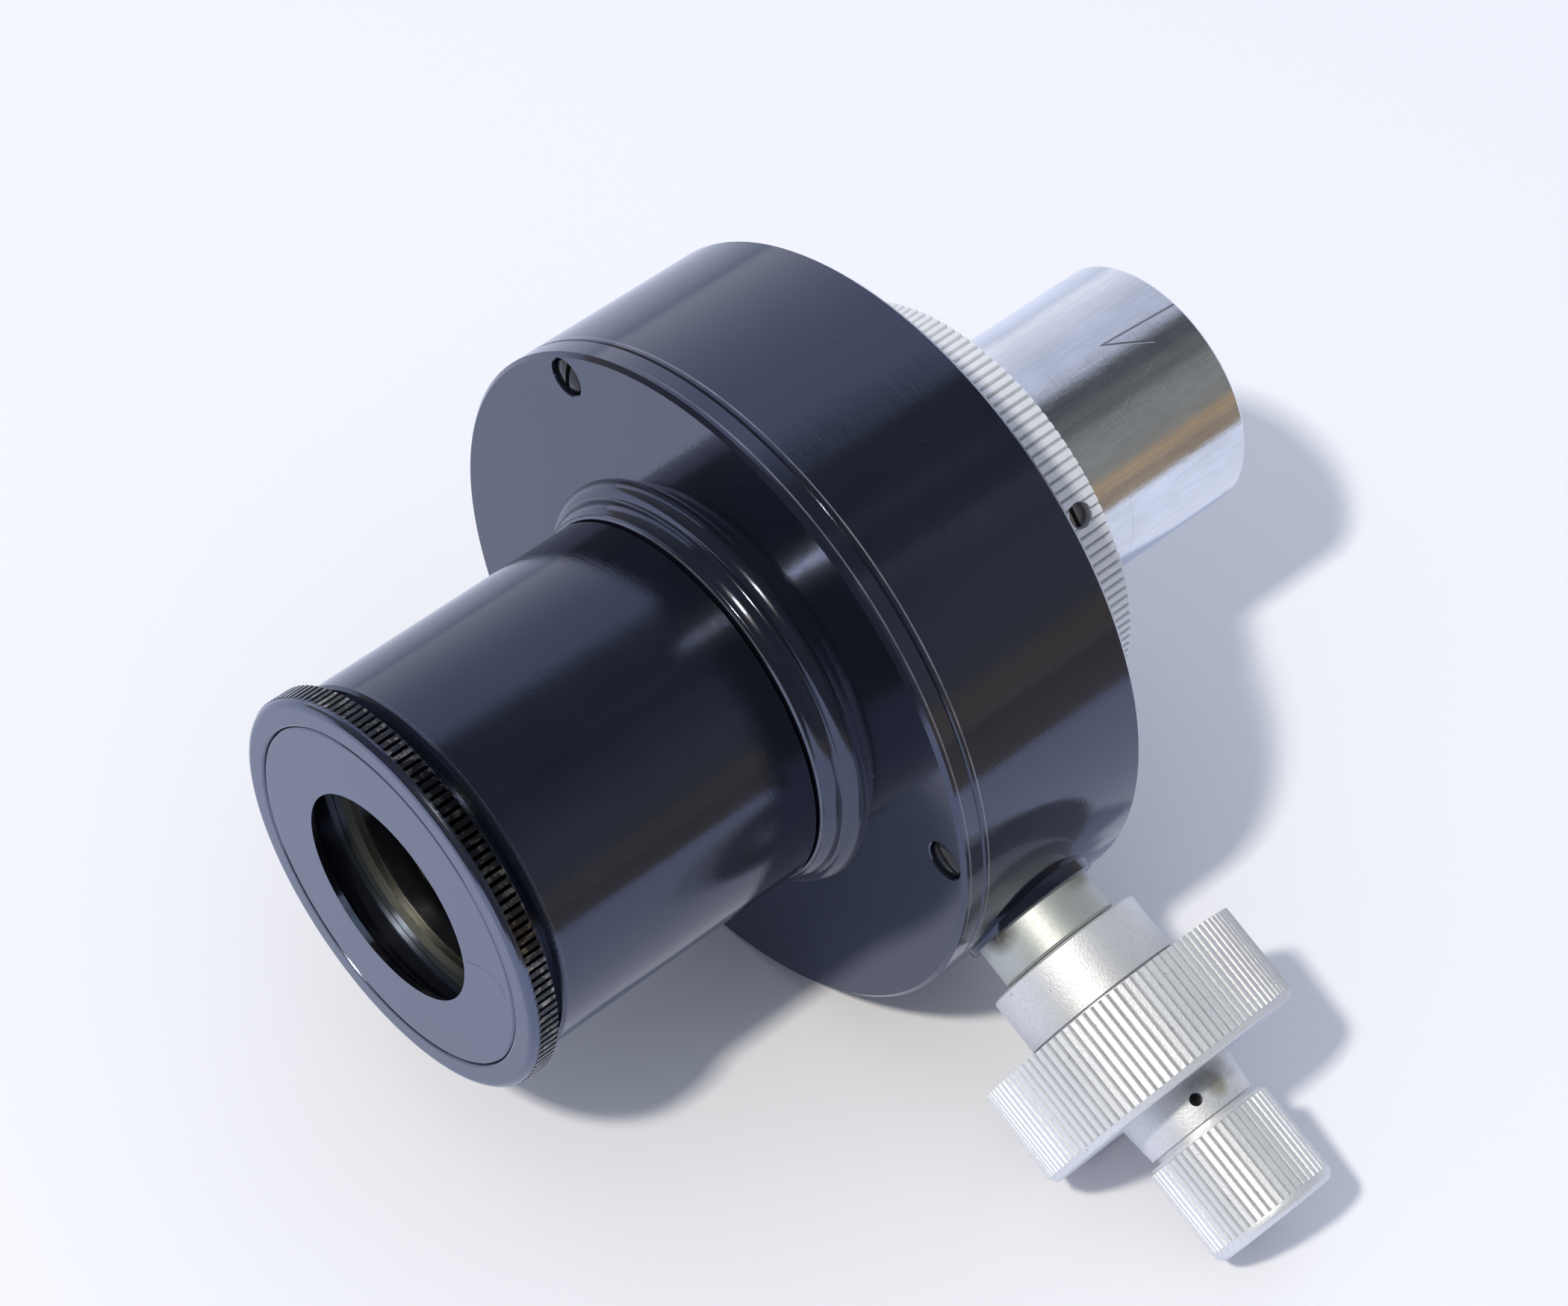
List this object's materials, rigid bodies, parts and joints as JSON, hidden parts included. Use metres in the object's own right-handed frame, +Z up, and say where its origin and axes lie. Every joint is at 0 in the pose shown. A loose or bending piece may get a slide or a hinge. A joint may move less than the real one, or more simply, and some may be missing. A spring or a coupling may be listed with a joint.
{
  "type": "micrometer eyepiece",
  "caption": "Measuring eyepiece: drum housing with eye barrel, slip-in tube and a knurled screw that moves a hairline across the field.",
  "frame": {"origin": "on the optical axis, in the plane of the tube's shoulder (the knurled ring's rear face)", "axes": "+Y along the optical axis out of the slip-in tube, away from the eye; +Z up as the part lies at rest; the screw's axis points to +X and dips below the horizontal"},
  "size_m": [0.0897, 0.0844, 0.0606],
  "materials": {
    "black_lacquer": "gloss",
    "dull_black": "matt",
    "chrome_plate": "polished, slightly worn",
    "bush_steel": "turned",
    "steel": "turned",
    "dark_steel": "blackened",
    "brass": "turned",
    "cell_aluminium": "satin",
    "lens_glass": "polished"
  },
  "bodies": {
    "housing": {"housing": "black_lacquer", "front_cover": "black_lacquer", "cover_screws": "dark_steel", "barrel": "black_lacquer", "barrel_collar": "black_lacquer", "spindle_bush": "bush_steel", "reticle_mount": "dull_black", "field_stop": "dull_black", "reticle_plate": "lens_glass", "slide_bed": "brass", "bed_screws": "steel", "keeper_strips": "steel", "strip_screws": "steel"},
    "micrometer": {"spindle": "steel", "thrust_collar": "steel", "wheel": "chrome_plate", "knob": "chrome_plate", "knob_set_screw": "dark_steel"},
    "carriage": {"carriage": "brass", "hairline_plate": "lens_glass", "carriage_nut": "brass"},
    "lens_cell": {"lens_cell": "cell_aluminium", "eye_lens": "lens_glass", "lens_spacer": "dull_black", "field_lens": "lens_glass", "lens_retainer": "dull_black", "cell_key": "brass"},
    "eye_ring": {"eye_ring": "black_lacquer", "eye_disc": "black_lacquer", "cell_retainer": "dull_black"},
    "tube": {"tube": "chrome_plate", "clamp_ring": "chrome_plate", "clamp_ring_screw": "dark_steel", "tube_retainer": "brass"}
  },
  "joints": [
    {"name": "micrometer_turn", "type": "hinge", "parent": "housing", "child": "micrometer", "pos_m": [0, -0.0189, 0], "axis": [0.9214, 0, -0.3886], "range_deg": [-1440, 1440]},
    {"name": "carriage_slide", "type": "slide", "parent": "housing", "child": "carriage", "axis": [0.9214, 0, -0.3886], "range_m": [-0.00401, 0.00401]},
    {"name": "cell_slide", "type": "slide", "parent": "housing", "child": "lens_cell", "axis": [0, -1, 0], "range_m": [-0.00101, 0.00401]},
    {"name": "eye_ring_turn", "type": "hinge", "parent": "lens_cell", "child": "eye_ring", "pos_m": [0, -0.06, 0], "axis": [0, -1, 0], "range_deg": [-60, 240]},
    {"name": "tube_turn", "type": "hinge", "parent": "housing", "child": "tube", "pos_m": [0, 0, 0], "axis": [0, 1, 0], "continuous": true}
  ],
  "couplings": [
    {"joint": "carriage_slide", "follows": "micrometer_turn", "m_per_rad": -0.00015915},
    {"joint": "cell_slide", "follows": "eye_ring_turn", "m_per_rad": 0.00095493}
  ]
}
